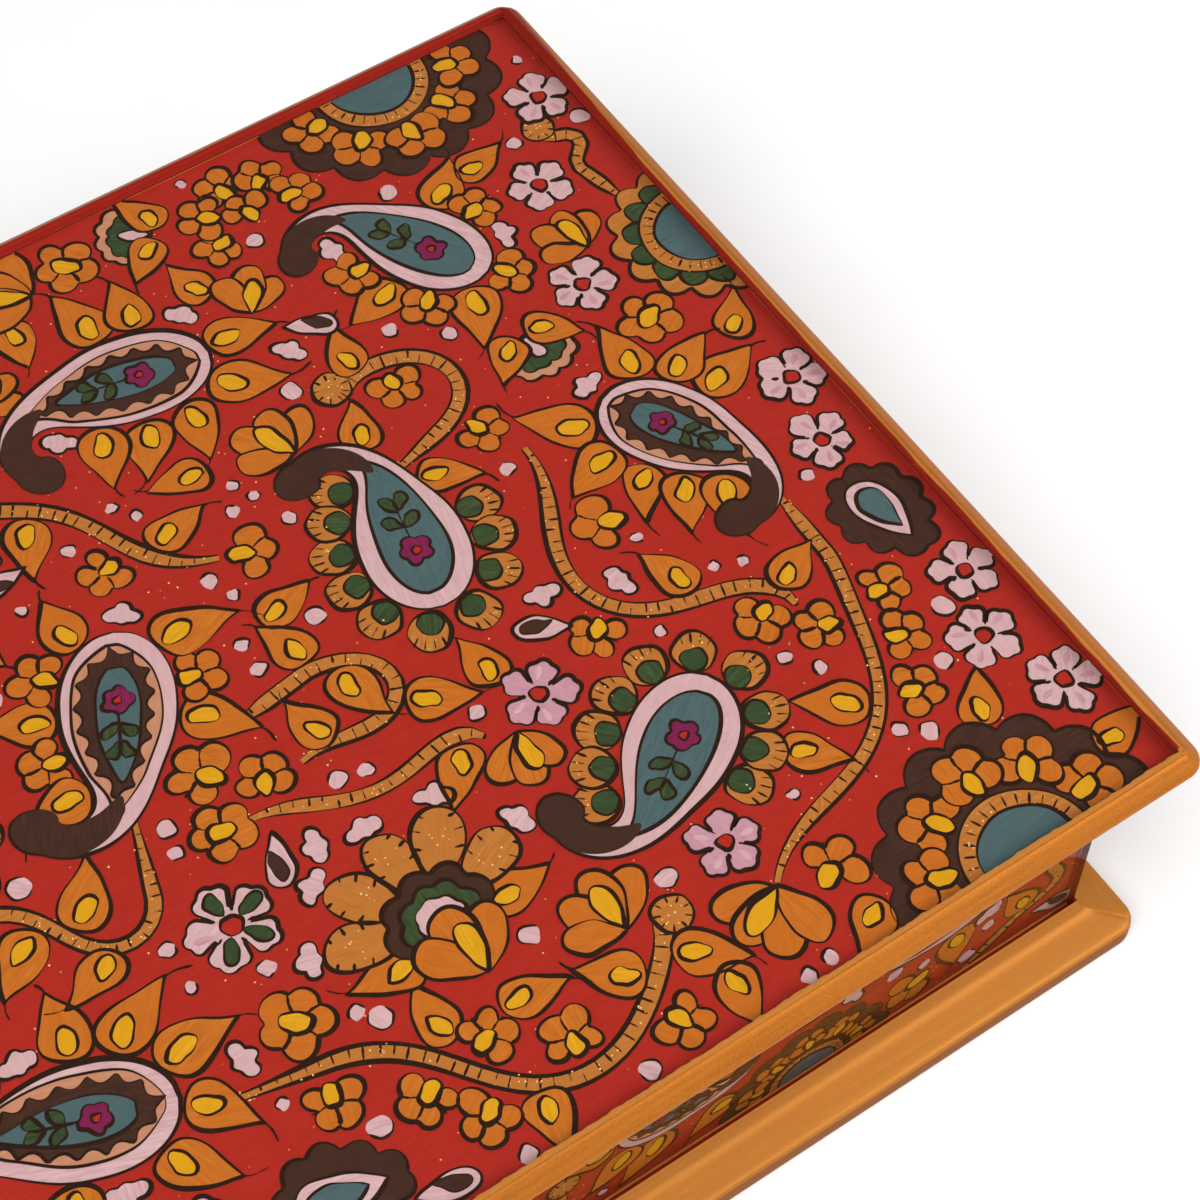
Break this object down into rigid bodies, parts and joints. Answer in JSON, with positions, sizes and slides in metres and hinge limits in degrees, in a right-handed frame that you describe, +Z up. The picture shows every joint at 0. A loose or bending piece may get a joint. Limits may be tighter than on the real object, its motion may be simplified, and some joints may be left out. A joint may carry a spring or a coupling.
{
  "type": "jewelry box",
  "caption": "Hinged rectangular jewelry box of gold-painted wood with reverse-painted glass panels on its lid and walls, a flared rim and foot moulding, and a velvet-lined well.",
  "frame": {"origin": "centre of the footprint, on the surface that the box stands on", "axes": "+X along the long front, towards its right end; +Y from the front to the hinged back; +Z up"},
  "size_m": [0.25, 0.2, 0.062],
  "materials": {
    "gold_paint": "brushed gold paint, satin",
    "bare_wood": "plain sanded wood",
    "painted_glass": "clear glass, painted from behind",
    "velvet": "short black velvet pile",
    "brass": "polished, lightly aged"
  },
  "bodies": {
    "case": {"base_rail_front": "gold_paint", "base_rail_right": "gold_paint", "base_rail_back": "gold_paint", "base_rail_left": "gold_paint", "bottom_board": "bare_wood", "wall_front": "bare_wood", "wall_right": "bare_wood", "wall_back": "bare_wood", "wall_left": "bare_wood", "side_glass_front": "painted_glass", "side_glass_right": "painted_glass", "side_glass_back": "painted_glass", "side_glass_left": "painted_glass", "wall_lining_front": "velvet", "wall_lining_right": "velvet", "wall_lining_back": "velvet", "wall_lining_left": "velvet", "floor_pad": "velvet", "hinge_left_fixed_leaf": "brass", "hinge_left_pin": "brass", "hinge_left_fixed_screw_1": "brass", "hinge_left_fixed_screw_2": "brass", "hinge_right_fixed_leaf": "brass", "hinge_right_pin": "brass", "hinge_right_fixed_screw_1": "brass", "hinge_right_fixed_screw_2": "brass"},
    "lid": {"lid_rail_front": "gold_paint", "lid_rail_right": "gold_paint", "lid_rail_back": "gold_paint", "lid_rail_left": "gold_paint", "lid_board": "bare_wood", "lid_glass": "painted_glass", "lid_lining": "velvet", "hinge_left_moving_leaf": "brass", "hinge_left_moving_screw_1": "brass", "hinge_left_moving_screw_2": "brass", "hinge_right_moving_leaf": "brass", "hinge_right_moving_screw_1": "brass", "hinge_right_moving_screw_2": "brass"}
  },
  "joints": [
    {"name": "lid_hinge", "type": "hinge", "parent": "case", "child": "lid", "pos_m": [0, 0.0922, 0.0521], "axis": [-1, 0, 0], "range_deg": [0, 138]}
  ]
}
